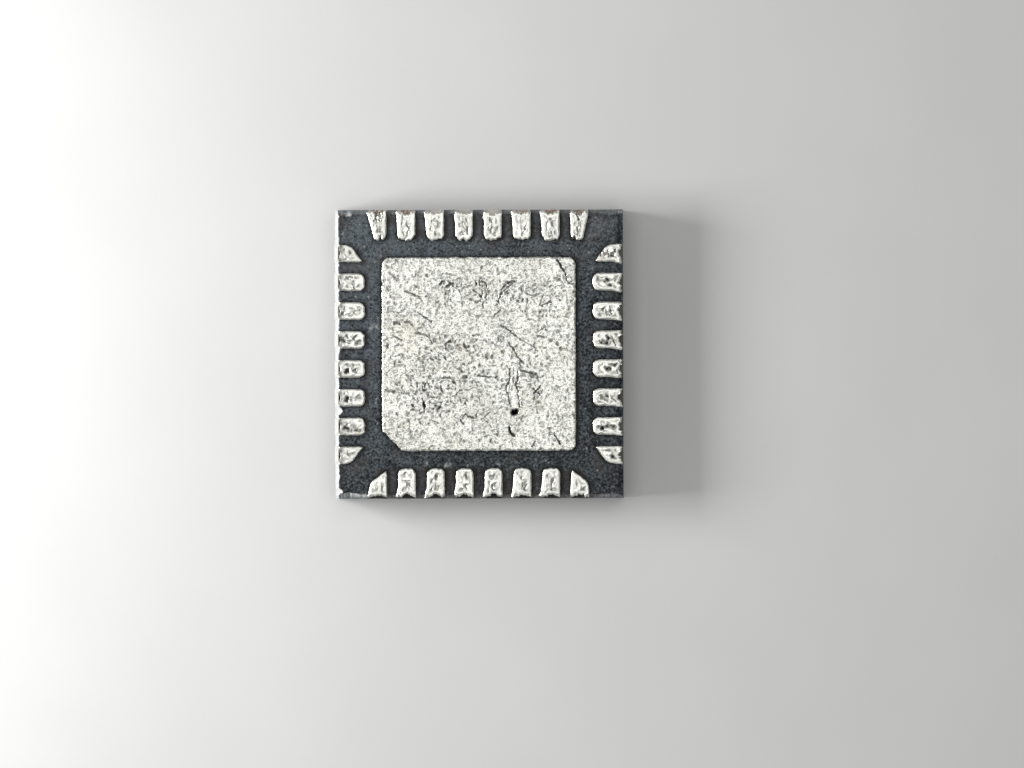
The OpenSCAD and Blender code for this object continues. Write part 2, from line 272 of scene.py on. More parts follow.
def within(spots, outline, faces):
    """The faces that lie inside an outline, without those in its holes."""
    fences = {frozenset(line) for line in outline}
    beside = {}
    for k, face in enumerate(faces):
        for side in zip(face, face[1:] + face[:1]):
            beside.setdefault(frozenset(side), []).append(k)
    kept, seen = [], set()
    for first in range(len(faces)):
        if first not in seen:
            seen.add(first)
            field, todo = [], [first]
            while todo:
                k = todo.pop()
                field.append(k)
                for side in map(frozenset, zip(faces[k], faces[k][1:] + faces[k][:1])):
                    fresh = [] if side in fences else [other for other in beside[side] if other not in seen]
                    seen.update(fresh)
                    todo += fresh
            middle = sum((spots[i] for i in faces[first]), Vector((0, 0))) / 3
            hits = 0
            for a, b in ((spots[i], spots[j]) for i, j in outline):
                if (a.y > middle.y) != (b.y > middle.y):
                    hits += middle.x < a.x + (middle.y - a.y) / (b.y - a.y) * (b.x - a.x)
            if hits % 2:
                kept += field
    return [faces[k] for k in sorted(kept)]


def filled(bm, grid, seed):
    """Fills the hole with small triangles. Gives each of its points with the way it lies in from the edge."""
    rim = rim_of(bm)
    place = {v: i for i, v in enumerate(rim)}
    rim_lines = [(place[e.verts[0]], place[e.verts[1]]) for e in bm.edges if e.is_boundary]
    points = [Vector((v.co.x / mm, v.co.y / mm)) for v in rim]
    near = search_tree(points)

    draw = random.Random(seed)
    low = [min(p[k] for p in points) for k in (0, 1)]
    high = [max(p[k] for p in points) for k in (0, 1)]
    steps = [int((high[k] - low[k]) / grid) for k in (0, 1)]
    for i in range(steps[0] + 1):
        for j in range(steps[1] + 1):
            strays = [draw.uniform(-grid_stray, grid_stray) for _ in (0, 1)]
            p = Vector((low[0] + (i + strays[0]) * grid, low[1] + (j + strays[1]) * grid))
            if near.find(p.to_3d())[2] > grid_room * grid:
                points.append(p)
    spots, edges, faces, origin, lines, _ = geometry.delaunay_2d_cdt(points, rim_lines, [], 1, 1e-7)
    faces = within(spots, [edge for edge, line in zip(edges, lines) if line], faces)

    level = rim[0].co.z
    verts = {}
    for i in {i for face in faces for i in face}:
        known = [k for k in origin[i] if k < len(rim)]
        verts[i] = rim[known[0]] if known else bm.verts.new((spots[i].x * mm, spots[i].y * mm, level))
    fences = {e for e in bm.edges if e.is_boundary}
    for face in faces:
        bm.faces.new([verts[i] for i in face]).smooth = True
    points = list(verts.values())
    for chord in [e for e in bm.edges if e not in fences and all(v in place for v in e.verts)]:
        ends, sides = set(chord.verts), list(chord.link_faces)
        points.append(bmesh.utils.edge_split(chord, chord.verts[0], 0.5)[1])
        for side in sides:
            far = [v for v in side.verts if v not in ends and v != points[-1]]
            bmesh.utils.face_split(side, points[-1], far[0])
    return [(v, v.co.xy / mm - near.find((v.co.xy / mm).to_3d())[0].xy) for v in points]


def round_over(inset, reach, depth):
    """How far a rounded edge has dropped at this distance in from it."""
    if inset >= reach:
        return 0.0
    return depth * (1 - math.sqrt(1 - (1 - inset / reach) ** 2))


def from_line(p, points):
    """Distance of a point from a line through these points."""
    best = 1e9
    for a, b in zip(points, points[1:]):
        a, b = Vector(a), Vector(b)
        along = held((p - a).dot(b - a) / (b - a).length_squared)
        best = min(best, (p - a - along * (b - a)).length)
    return best


def dressed(bm, name, node, material):
    """Makes the finished mesh an object that stands for its node."""
    mesh = bpy.data.meshes.new(name)
    bm.normal_update()
    bm.to_mesh(mesh)
    bm.free()
    mesh.materials.append(material)
    piece = bpy.data.objects.new(name, mesh)
    bpy.context.collection.objects.link(piece)
    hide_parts(node)
    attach(piece, "root")


def new_group(name, inputs, outputs):
    """A shader node group with these sockets, and its two end nodes."""
    tree = bpy.data.node_groups.new(name, "ShaderNodeTree")
    for label, kind, value in inputs:
        socket = tree.interface.new_socket(label, in_out="INPUT", socket_type="NodeSocket" + kind)
        socket.default_value = value
    for label, kind in outputs:
        tree.interface.new_socket(label, in_out="OUTPUT", socket_type="NodeSocket" + kind)
    return tree, tree.nodes.new("NodeGroupInput"), tree.nodes.new("NodeGroupOutput")


def used(tree, group, **links):
    """A group placed in a node tree, with these sockets linked."""
    node = tree.nodes.new("ShaderNodeGroup")
    node.node_tree = group
    for label, socket in links.items():
        tree.links.new(socket, node.inputs[label])
    return node


def new_material(name):
    """A node material with a plain shader, and its node tree."""
    material = bpy.data.materials.new(name)
    material.use_nodes = True
    return material, material.node_tree


def finished(material, **sockets):
    """The material with these sockets of its shader linked, or set where a number is given."""
    tree = material.node_tree
    for label, value in sockets.items():
        socket = tree.nodes["Principled BSDF"].inputs[label.replace("_", " ")]
        if isinstance(value, float):
            socket.default_value = value
        else:
            tree.links.new(value, socket)
    return material


def texture(tree, kind, coordinates, size, **settings):
    """A procedural texture node, with the size of its features in millimetres."""
    node = tree.nodes.new("ShaderNodeTex" + kind)
    tree.links.new(coordinates, node.inputs["Vector"])
    node.inputs["Scale"].default_value = 1 / (size * mm)
    for label, value in settings.items():
        node.inputs[label].default_value = value
    return node


def clouds(tree, coordinates, size, **settings):
    """The value of a noise texture."""
    return texture(tree, "Noise", coordinates, size, **settings).outputs["Fac"]


def axes(tree, vector):
    """The X, Y and Z of a vector."""
    node = tree.nodes.new("ShaderNodeSeparateXYZ")
    tree.links.new(vector, node.inputs["Vector"])
    return node.outputs


def ramp(tree, value, low, high, out_low=0.0, out_high=1.0):
    """A value spread from one range to another, held inside the second."""
    node = tree.nodes.new("ShaderNodeMapRange")
    node.interpolation_type = "SMOOTHSTEP"
    tree.links.new(value, node.inputs["Value"])
    for label, number in (("From Min", low), ("From Max", high), ("To Min", out_low), ("To Max", out_high)):
        node.inputs[label].default_value = number
    return node.outputs["Result"]


def sums(tree, operation, first, second=0.0):
    """A Math node on two values, either of which may be a number."""
    node = tree.nodes.new("ShaderNodeMath")
    node.operation = operation
    for socket, value in zip(node.inputs, (first, second)):
        if isinstance(value, (int, float)):
            socket.default_value = value
        else:
            tree.links.new(value, socket)
    return node.outputs[0]


def mixed(tree, share, first, second):
    """One colour mixed over another, each a colour or a socket."""
    node = tree.nodes.new("ShaderNodeMix")
    node.data_type = "RGBA"
    tree.links.new(share, node.inputs["Factor"])
    for socket, value in ((node.inputs[6], first), (node.inputs[7], second)):
        if isinstance(value, tuple):
            socket.default_value = value
        else:
            tree.links.new(value, socket)
    return node.outputs[2]


def bumped(tree, height, strength, distance):
    """A normal raised by a height, over a distance in millimetres."""
    node = tree.nodes.new("ShaderNodeBump")
    node.inputs["Strength"].default_value = strength
    node.inputs["Distance"].default_value = distance * mm
    tree.links.new(height, node.inputs["Height"])
    return node.outputs["Normal"]


def place_on_part(tree):
    """Positions on the part, in its own frame."""
    return tree.nodes.new("ShaderNodeTexCoord").outputs["Object"]


def vertex_mask(tree, name):
    """A value stored on the mesh's points."""
    node = tree.nodes.new("ShaderNodeAttribute")
    node.attribute_name = name
    return node.outputs["Fac"]


def tin_skin():
    """Matte tin: white crystals with grey between them and warmer patches, black where the mask says: dirt,
    and painted shade in the hollows.
    """
    tree, given, made = new_group(
        "tin_skin",
        [("Position", "Vector", (0, 0, 0)), ("Soil", "Float", 0.0), ("Stain", "Float", 0.0),
         ("Grain", "Float", 1.0)],
        [("Color", "Color"), ("Roughness", "Float"), ("Height", "Float")])
    position, soil_and_shade = given.outputs["Position"], given.outputs["Soil"]
    crystal = clouds(tree, position, size=0.023, Detail=2.0, Roughness=0.7)
    patch = clouds(tree, position, size=0.5, Detail=2.0)
    warm = clouds(tree, position, size=0.3, Detail=3.0, Roughness=0.6, Distortion=0.5)
    between = sums(tree, "MULTIPLY", ramp(tree, crystal, 0.55, 0.33), given.outputs["Grain"])
    colour = mixed(tree, between, tin_white, tin_grey)
    yellowed = sums(tree, "MAXIMUM", ramp(tree, warm, 0.56, 0.76, 0.0, 0.45),
                    sums(tree, "MULTIPLY", given.outputs["Stain"], ramp(tree, crystal, 0.3, 0.6, 0.9, 0.2)))
    colour = mixed(tree, yellowed, colour, tin_warm)
    tree.links.new(mixed(tree, soil_and_shade, colour, grime_and_shade), made.inputs["Color"])
    dull = ramp(tree, patch, 0.35, 0.65, 0.30, 0.42)
    tree.links.new(sums(tree, "ADD", dull, sums(tree, "MULTIPLY", soil_and_shade, 0.35)), made.inputs["Roughness"])
    tree.links.new(crystal, made.inputs["Height"])
    return tree


tin_group = tin_skin()


def sawn_edge():
    """How far a point lies in from the nearest of the package's sawn walls, and whether it is on one."""
    tree, given, made = new_group(
        "sawn_edge", [("Position", "Vector", (0, 0, 0))], [("From Wall", "Float"), ("On Wall", "Float")])
    place = axes(tree, given.outputs["Position"])
    out_x = sums(tree, "ABSOLUTE", place["X"])
    out_y = sums(tree, "ABSOLUTE", place["Y"])
    from_wall = sums(tree, "SUBTRACT", wall * mm, sums(tree, "MAXIMUM", out_x, out_y))
    tree.links.new(from_wall, made.inputs["From Wall"])
    tree.links.new(ramp(tree, from_wall, 0.004 * mm, 0.001 * mm), made.inputs["On Wall"])
    return tree


sawn_group = sawn_edge()


def pad_tin():
    """The pad's plating, and bare copper where the tie bars are sawn."""
    material, tree = new_material("pad_tin")
    position = place_on_part(tree)
    skin = used(tree, tin_group, Position=position, Soil=vertex_mask(tree, "soil_and_shade"),
                Stain=vertex_mask(tree, "stain"))
    on_wall = used(tree, sawn_group, Position=position).outputs["On Wall"]
    raised = bumped(tree, skin.outputs["Height"], strength=0.5, distance=0.004)
    return finished(material, Base_Color=mixed(tree, on_wall, skin.outputs["Color"], copper_sawn),
                    Roughness=skin.outputs["Roughness"], Normal=raised, Metallic=1.0)


def spread(x, y, zones):
    """The strongest share that any of these round zones has at a point."""
    return max(share * max(0.0, 1 - (Vector((x, y)) - Vector(middle)).length_squared / radius ** 2)
               for radius, share, middle in zones)


def tin_grain(x, y):
    """How deep the plating's own grain is at a point, and how dark: its valleys darkened partly by dirt,
    partly as painted shade.
    """
    bent_x = x + grain_bend * lumps(x, y, grain_bend_size, 3)
    bent_y = y + grain_bend * lumps(x, y, grain_bend_size, 4)
    broken = held(0.55 + 1.8 * lumps(x, y, 0.07, 14))
    worm = broken * max(0.0, 1 - abs(lumps(bent_x, bent_y, worm_size, 5)) / worm_width)
    pebble = lumps(bent_x, bent_y, pebble_size, 6)
    beside_pebble = held((-0.17 - pebble) / 0.20)
    rough = pad_roughness + 0.30 * lumps(x, y, 0.4, 7) + spread(x, y, pad_rough)
    swell = pad_swell * (1 + lumps(x, y, 0.35, 8))
    drop = rough * (worm_depth * worm + pebble_depth * (0.5 - pebble)) + swell
    return drop, rough * (worm_soil_and_shade * worm + pebble_soil_and_shade * beside_pebble)


def measured(marks):
    """Marks with millimetres for their micrometres, and a share for their per cent."""
    return [(*(length / 1000 for length in lengths), share / 100, place) for *lengths, share, place in marks]


def with_rooms(marks):
    """Each mark with the room that it shows in: its lowest and highest x, and y."""
    return [(mark, [(min(c) - mark_reach, max(c) + mark_reach) for c in zip(*mark[-1])]) for mark in marks]


def strayed(x, y):
    """A point moved a little, so that what is measured from it has a ragged edge."""
    return Vector((x + mark_stray * lumps(x, y, mark_stray_size, 9),
                   y + mark_stray * lumps(x, y, mark_stray_size, 10)))


def gouged(x, y, drop, dark, roomed_marks):
    """How deep and how dark a face is at a point once its scratches and gouges are worked in."""
    broken = max(0.2, 0.85 + 0.8 * lumps(x, y, 0.055, 11))
    for (half_width, depth, blackness, points), ((x_low, x_high), (y_low, y_high)) in roomed_marks:
        if x_low < x < x_high and y_low < y < y_high:
            away = from_line(strayed(x, y), points) / (half_width * broken)
            share = max(0.0, 1 - away ** 2)
            thrown_up = max(0.0, 1 - abs(away - ridge_at) / ridge_half)
            drop = max(0.0, drop + depth * share - ridge_height * depth * thrown_up)
            dark = max(dark * (1 - 0.6 * thrown_up), blackness * share ** 0.5)
    return drop, dark


def worn_pad(x, y):
    """The grain with the burnished, scratched and pitted places worked in: how deep and how dark."""
    drop, dark = tin_grain(x, y)
    streak = held(0.85 + 0.5 * lumps(x / 0.25, y, 0.12, 12))
    away = from_line(Vector((x, y)), burnish_line) / burnish_half
    share = streak * max(0.0, 1 - away ** 2) ** 0.5
    drop = (1 - share) * drop + burnish_depth * share
    dark *= 1 - share
    drop, dark = gouged(x, y, drop, dark, roomed_pad_marks)
    for radius, depth, blackness, middle in measured_pad_spots:
        share = max(0.0, 1 - ((strayed(x, y) - Vector(middle)).length / radius) ** 2)
        mottle = held(blackness + 1.2 * (1 - blackness) * lumps(x, y, 0.035, 13))
        drop += depth * share
        dark = max(dark, mottle * held(1.6 * share))
    return max(0.0, drop), dark


roomed_pad_marks = with_rooms(measured(pad_marks))
measured_pad_spots = measured(pad_spots)
paddle = opened("die_paddle", solder_level, pad_grid)
homes = {v: v.co.copy() for v in rim_of(paddle)}
for vert in homes:
    x, y = vert.co.x / mm, vert.co.y / mm
    vert.co.x += pad_ragged * lumps(x, y, pad_ragged_size, 1) * mm
    vert.co.y += pad_ragged * lumps(x, y, pad_ragged_size, 2) * mm
uncrossed(paddle, homes)
# Darkness in the tin's valleys, pits and scratches: partly dirt, partly painted shade
soil_and_shade = paddle.verts.layers.float.new("soil_and_shade")
stain = paddle.verts.layers.float.new("stain")
for vert, inset in filled(paddle, pad_grid, seed=11):
    x, y = vert.co.x / mm, vert.co.y / mm
    drop, dark = worn_pad(x, y)
    vert[stain] = spread(*strayed(x, y), pad_stains)
    vert.co.z -= (drop + round_over(inset.length, pad_round_over, pad_round_depth)) * mm
    vert[soil_and_shade] = held(dark)
dressed(paddle, "die_paddle_tinned", "die_paddle", pad_tin())

# Leads: 32 fingers of the same copper strip, plated with matte tin and then sawn through with the mould.
# The saw has smeared the tin into burrs at their outer corners and left bare, stained copper in the
# half-round etched dimples and on the sawn ends.
lead_grid = 0.0118
lead_round_over = 0.08
lead_round_depth = 0.018
lead_ragged = 0.008
lead_ragged_size = 0.06
lead_swell = 0.004
lead_pitch = 0.5
lead_half = 0.15
lead_stride = 0.37
toe_room = 0.10
toe_fade = 0.04
lip_reach = 0.065
lip_room = 0.02
lip_start = 0.03
lip_fade = 0.04
burr_start = 0.085
burr_length = 0.12
burr_width = 0.06
wall_room = 0.012
rim_inset = 0.055
strip_width = 0.064
strip_flat = 0.035
strip_fade = 0.05
strip_shadow = 0.08
dimple_depth = 0.06
dimple_reach = 0.10
cad_slack = 0.003
smooth_edge = 0.06
fold_bend = 0.025
fold_bend_size = 0.10
fold_width = 0.24
fold_depth = 0.007
fold_soil_and_shade = 0.40
hollow_depth = 0.010
hollow_soil_and_shade = 0.50
tin_smear_lit = (0.95, 0.95, 0.91, 1.0)
tin_smear_shaded = (0.57, 0.57, 0.55, 1.0)
copper_dull = (0.40, 0.31, 0.27, 1.0)
copper_brown = (0.055, 0.040, 0.033, 1.0)
# The ways out of the package, named as on a map
west, north, east, south = (Vector(way) for way in ((-1, 0), (0, 1), (1, 0), (0, -1)))
# For each row: its first lead, the way out of the package, the way the saw dragged the burrs, the burrs'
# reach, how far the inner ends are torn, the folds' size, length for that size and darkness, and how brown
# and how dark the dimples are and how far tin has been dragged over each. The darkness of folds and dimples
# is partly dirt and stain, partly painted shade in these hollows.
lead_rows = [
    dict(first=1, way_out=west, dragged=north, burr=0.0, torn=0.014,
         fold_size=0.115, fold_length=1.0, rumple=1.15, brown=0.0, black=1.0,
         covers=[0.0] * 8),
    dict(first=9, way_out=north, dragged=west, burr=0.060, torn=0.045,
         fold_size=0.075, fold_length=2.4, rumple=0.8, brown=0.45, black=0.35,
         covers=[0.0, 0.4, 0.8, 0.7, 0.2, 0.8, 0.6, 0.2]),
    dict(first=17, way_out=east, dragged=south, burr=0.034, torn=0.012,
         fold_size=0.110, fold_length=1.2, rumple=1.5, brown=0.15, black=0.85,
         covers=[0.5, 0.95, 0.4, 0.5, 0.5, 0.1, 0.5, 0.9]),
    dict(first=25, way_out=south, dragged=west, burr=0.050, torn=0.012,
         fold_size=0.090, fold_length=1.6, rumple=1.0, brown=0.15, black=0.95,
         covers=[0.7, 0.6, 0.6, 0.3, 0.5, 0.5, 0.5, 0.6]),
]
# The row whose dimples the saw has smeared over along the wall, its smear painted white as a highlight with
# painted shadow behind it, and the leads with the brownest dimples
smeared_lit_row = 1
brown_dimples = {9: 1.0, 10: 0.9, 15: 0.7, 16: 0.7}
# Gouges, pits and folds of single leads, written as the pad's marks are
lead_marks = [
    (40, 15, 95, [(-2.32, -1.28), (-2.28, -1.28)]),
    (40, 20, 100, [(-2.28, -0.79), (-2.28, -0.75)]),
    (42, 20, 100, [(-2.29, -0.30), (-2.27, -0.27)]),
    (26, 10, 60, [(-2.17, -0.29), (-2.15, -0.27)]),
    (45, 15, 90, [(-2.39, 0.27), (-2.33, 0.24)]),
    (25, 10, 80, [(-2.39, 0.70), (-2.34, 0.71)]),
    (16, 8, 80, [(-2.18, 1.21), (-2.14, 1.13)]),
    (22, 8, 75, [(-2.23, 1.35), (-2.19, 1.33)]),
    (16, 6, 75, [(-2.35, 1.64), (-2.29, 1.65)]),
    (20, 12, 85, [(-1.78, 2.40), (-1.76, 2.30)]),
    (20, 12, 85, [(-1.70, 2.41), (-1.71, 2.31)]),
    (15, 10, 85, [(-1.82, 2.32), (-1.82, 2.24)]),
    (12, 7, 60, [(-1.76, 2.24), (-1.74, 2.03)]),
    (34, 20, 100, [(-1.71, 1.96), (-1.70, 2.03)]),
    (13, 8, 65, [(-1.32, 2.40), (-1.33, 2.18), (-1.28, 1.99)]),
    (13, 8, 60, [(-1.19, 2.20), (-1.27, 1.99)]),
    (12, 6, 55, [(-0.82, 2.32), (-0.83, 2.16)]),
    (13, 7, 65, [(-0.27, 2.30), (-0.29, 2.23), (-0.22, 2.16), (-0.26, 2.09)]),
    (14, 8, 70, [(0.19, 2.36), (0.24, 2.28), (0.22, 2.10)]),
    (12, 5, 45, [(0.73, 2.36), (0.75, 2.14)]),
    (13, 8, 65, [(1.22, 2.10), (1.21, 2.03), (1.27, 2.05), (1.26, 2.14)]),
    (22, 14, 90, [(1.69, 2.44), (1.74, 2.32)]),
    (13, 8, 70, [(1.73, 2.27), (1.72, 2.06)]),
    (22, 15, 95, [(1.66, 1.95), (1.66, 2.02)]),
    (12, 10, 80, [(2.11, 1.69), (2.12, 1.77)]),
    (12, 10, 80, [(2.17, 1.68), (2.17, 1.82)]),
    (12, 10, 80, [(2.25, 1.67), (2.25, 1.80)]),
    (20, 12, 80, [(2.35, 1.70), (2.37, 1.82)]),
    (16, 10, 75, [(2.27, 0.82), (2.31, 0.68)]),
    (24, 8, 60, [(2.21, 0.67), (2.20, 0.75)]),
    (16, 10, 75, [(2.29, 0.31), (2.37, 0.14)]),
    (16, 8, 65, [(2.09, 0.23), (2.13, 0.18)]),
    (34, 8, 65, [(2.19, -0.24), (2.26, -0.26)]),
    (22, 8, 75, [(2.40, -0.35), (2.40, -0.29)]),
    (16, 8, 70, [(2.27, -0.72), (2.37, -0.83)]),
    (34, 8, 60, [(2.13, -0.76), (2.21, -0.80)]),
    (26, 8, 65, [(2.12, -1.30), (2.22, -1.25), (2.33, -1.26)]),
    (18, 10, 80, [(0.22, -2.27), (0.25, -2.36)]),
    (12, 8, 75, [(0.16, -2.31), (0.16, -2.38)]),
    (12, 8, 75, [(-0.24, -2.26), (-0.22, -2.34)]),
    (16, 7, 60, [(0.74, -2.34), (0.75, -2.24), (0.82, -2.21)]),
    (16, 7, 60, [(1.26, -2.36), (1.25, -2.24), (1.29, -2.19)]),
    (14, 6, 55, [(-1.27, -2.36), (-1.24, -2.22), (-1.20, -2.18)]),
    (14, 6, 60, [(-0.76, -2.36), (-0.75, -2.20)]),
]


def lead_tin():
    """The leads' plating, bare copper in the dimples and on the sawn ends, and smeared tin painted white as a
    highlight, darker on its slopes as painted shade.
    """
    material, tree = new_material("lead_tin")
    position = place_on_part(tree)
    skin = used(tree, tin_group, Position=position, Soil=vertex_mask(tree, "soil_and_shade"))
    skin.inputs["Grain"].default_value = 0.35
    sawn = used(tree, sawn_group, Position=position)
    on_wall = sawn.outputs["On Wall"]
    stain = clouds(tree, position, size=0.05, Detail=4.0, Roughness=0.65)
    metal = mixed(tree, ramp(tree, stain, 0.42, 0.62), copper_brown, copper_dull)
    fresh = sums(tree, "MULTIPLY", on_wall, ramp(tree, stain, 0.3, 0.6, 0.4, 1.0))
    metal = mixed(tree, fresh, metal, copper_sawn)
    bare = ramp(tree, vertex_mask(tree, "bare"), 0.15, 0.6)
    through = sums(tree, "MAXIMUM", ramp(tree, stain, 0.34, 0.48), on_wall)
    colour = mixed(tree, sums(tree, "MULTIPLY", bare, through), skin.outputs["Color"], metal)
    smeared_and_lit = sums(tree, "MULTIPLY", vertex_mask(tree, "smear_highlight"),
                   ramp(tree, sawn.outputs["From Wall"], 1.1 * strip_width * mm, 0.9 * strip_width * mm))
    # Painted shade: the smear's painted highlight is darker where its face slopes
    facing = axes(tree, tree.nodes.new("ShaderNodeNewGeometry").outputs["True Normal"])
    smear_highlight = mixed(tree, ramp(tree, facing["Z"], 0.88, 0.98), tin_smear_shaded, tin_smear_lit)
    dull = sums(tree, "MAXIMUM", skin.outputs["Roughness"], sums(tree, "MULTIPLY", smeared_and_lit, 0.8))
    raised = bumped(tree, skin.outputs["Height"], strength=0.5, distance=0.005)
    return finished(material, Base_Color=mixed(tree, smeared_and_lit, colour, smear_highlight), Roughness=dull, Normal=raised,
                    Metallic=sums(tree, "SUBTRACT", 1.0, smeared_and_lit))


def lead_edge_shift(row, spot, from_end, off_middle, reach, horn, lips, cover):
    """How far a point on the edge of a lead's soldered face has strayed from the clean outline."""
    x, y = spot
    way_out = row["way_out"]
    shift = lead_ragged * Vector((lumps(x, y, lead_ragged_size, 21), lumps(x, y, lead_ragged_size, 22)))
    at_toe = held((from_end - reach + toe_room) / toe_fade)
    shift -= row["torn"] * at_toe * lumps(x, y, lead_ragged_size, 34) * way_out
    near_end = max(0.0, 1 - (from_end - burr_start) / burr_length)
    near_side = max(0.0, 1 - (lead_half - off_middle) / burr_width)
    shift += horn * near_end ** 2 * near_side * row["dragged"]
    if from_end < dimple_reach + lip_room:
        beside_dimple = held((abs(off_middle) - lip_start) / lip_fade)
        shift += lips * max(beside_dimple, cover) * (0.75 + 0.9 * lumps(x, y, 0.035, 30)) * way_out
    return shift - max(0.0, shift.dot(way_out) - (from_end - wall_room)) * way_out


def folded_tin(row, side, along, inset):
    """The rumpled face of a lead at a point, smooth towards its edge: how deep, and how dark, its folds and
    hollows darkened partly by dirt, partly as painted shade.
    """
    bent_side = side + fold_bend * lumps(side, along, fold_bend_size, 24)
    bent_along = along + fold_bend * lumps(side, along, fold_bend_size, 25)
    fold_size, fold_length = row["fold_size"], row["fold_length"]
    fold = max(0.0, 1 - abs(lumps(bent_side, bent_along / fold_length, fold_size, 26)) / fold_width)
    hollow = held((-0.02 - lumps(bent_side, bent_along / fold_length ** 0.5, 0.7 * fold_size, 27)) / 0.35)
    inside = held(inset / smooth_edge - 0.35)
    swell = lead_swell * (1 + lumps(side, along, 0.14, 29))
    drop = inside * (fold_depth * fold + hollow_depth * hollow) + swell
    return drop, row["rumple"] * inside * (fold_soil_and_shade * fold ** 2 + hollow_soil_and_shade * hollow)


lead_finish = lead_tin()
roomed_lead_marks = with_rooms(measured(lead_marks))
for row in lead_rows:
    first, way_out, black = row["first"], row["way_out"], row["black"]
    across = Vector((abs(way_out.y), abs(way_out.x)))
    smeared_and_lit = first == smeared_lit_row
    lips = 0.0 if smeared_and_lit else lip_reach
    for number, cover in enumerate(row["covers"], first):
        node = f"lead_{number:02d}"
        low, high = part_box(node)
        middle = (low.xy + high.xy).dot(across) / 2 / mm
        lead = opened(node, solder_level, lead_grid)
        soil_and_shade = lead.verts.layers.float.new("soil_and_shade")
        bare = lead.verts.layers.float.new("bare")
        smear_highlight = lead.verts.layers.float.new("smear_highlight")
        stain = brown_dimples.get(number, row["brown"] * (1 + lumps(number * lead_stride, 0.7, 0.5, 35)))
        for vert in lead.verts:
            below = (solder_level - vert.co.z) / mm
            from_end = wall - vert.co.xy.dot(way_out) / mm
            # Dimples and the lower side walls are darkened: partly dirt and stain, partly painted shade in
            # these hollows; in the west row it is painted shadow behind the white strip
            if smeared_and_lit and below < dimple_depth + cad_slack:
                vert[smear_highlight] = 1.0
                vert[soil_and_shade] = 1.0 if from_end > 0.01 else 0.0
            elif abs(below - dimple_depth) < cad_slack and from_end < dimple_reach + cad_slack:
                vert[soil_and_shade] = black
                vert[bare] = stain
            elif below > dimple_depth:
                vert[bare] = 1.0
            elif below > dimple_depth / 2:
                vert[soil_and_shade] = black
        homes = {v: v.co.copy() for v in rim_of(lead)}
        reach = max(wall - v.co.xy.dot(way_out) / mm for v in homes)
        horn = row["burr"] * (0.9 + 0.9 * lumps(number * lead_stride, 0.2, 0.5, 23))
        for vert in homes:
            spot = vert.co.xy / mm
            off_middle = (spot.dot(across) - middle) * across.dot(row["dragged"])
            from_end = wall - spot.dot(way_out)
            shift = lead_edge_shift(row, spot, from_end, off_middle, reach, horn, lips, cover)
            vert.co.x += shift.x * mm
            vert.co.y += shift.y * mm
        uncrossed(lead, homes)
        for vert, inset in filled(lead, lead_grid, seed=number):
            spot = vert.co.xy / mm
            drop, dark = folded_tin(row, spot.dot(across), spot.dot(way_out), inset.length)
            drop, dark = gouged(spot.x, spot.y, drop, dark, roomed_lead_marks)
            rounded = round_over(inset.length, lead_round_over, lead_round_depth)
            # West row: the white strip is a painted highlight, with a band of painted shadow behind it
            if smeared_and_lit:
                behind_strip = wall - spot.dot(way_out) - strip_width
                rounded *= held((behind_strip - strip_flat) / strip_fade)
                shadow = held(1.6 - behind_strip / strip_shadow)
                dark = max(dark, shadow * (0.45 + 0.5 * lumps(spot.x, spot.y, 0.06, 28)))
            vert.co.z -= (drop + rounded) * mm
            vert[soil_and_shade] = held(dark)
        dressed(lead, node + "_tinned", node, lead_finish)

# Die attach: silver filled epoxy, pressed out under the die into a small fillet and cured.
# Sealed inside the mould.
attach_silver = (0.52, 0.51, 0.49, 1.0)
attach_dark = (0.30, 0.30, 0.30, 1.0)


def attach_paste():
    material, tree = new_material("attach_paste")
    flake = texture(tree, "Voronoi", place_on_part(tree), size=0.02).outputs["Distance"]
    return finished(material, Base_Color=mixed(tree, ramp(tree, flake, 0.1, 0.7), attach_silver, attach_dark),
                    Roughness=ramp(tree, flake, 0.0, 0.8, 0.35, 0.6), Metallic=0.6,
                    Normal=bumped(tree, flake, strength=0.4, distance=0.003))


def coat(node, material):
    """Puts a finish on a carried-over piece."""
    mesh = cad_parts[node].data
    mesh.materials.clear()
    mesh.materials.append(material)


coat("die_attach", attach_paste())

# Silicon die: a sawn square of silicon, with its circuit layers on the side that faces the marked face.
# Polished grey, with faint colour bands from the thin layers. Sealed inside the mould.
silicon_dark = (0.10, 0.105, 0.125, 1.0)
silicon_light = (0.24, 0.23, 0.26, 1.0)


def silicon():
    material, tree = new_material("silicon")
    position = place_on_part(tree)
    blocks = texture(tree, "Brick", position, size=0.35, Color1=silicon_dark, Color2=silicon_light,
                     Mortar=silicon_light)
    haze = clouds(tree, position, size=0.05, Detail=3.0)
    return finished(material, Base_Color=blocks.outputs["Color"], Metallic=0.3,
                    Roughness=ramp(tree, haze, 0.3, 0.7, 0.15, 0.3))


coat("silicon_die", silicon())

# Bond wires: 32 drawn gold wires, ball bonded on the die and looped over to a stitch on each lead.
# Sealed inside the mould.
gold = (0.83, 0.59, 0.22, 1.0)
gold_dull = (0.66, 0.43, 0.14, 1.0)


def wire_gold():
    material, tree = new_material("wire_gold")
    drawn = clouds(tree, place_on_part(tree), size=0.03, Detail=3.0)
    return finished(material, Base_Color=mixed(tree, ramp(tree, drawn, 0.35, 0.65), gold_dull, gold),
                    Roughness=ramp(tree, drawn, 0.3, 0.7, 0.2, 0.35), Metallic=1.0)


wire_finish = wire_gold()
for span in ("01_08", "09_16", "17_24", "25_32"):
    coat("bond_wires_" + span, wire_finish)

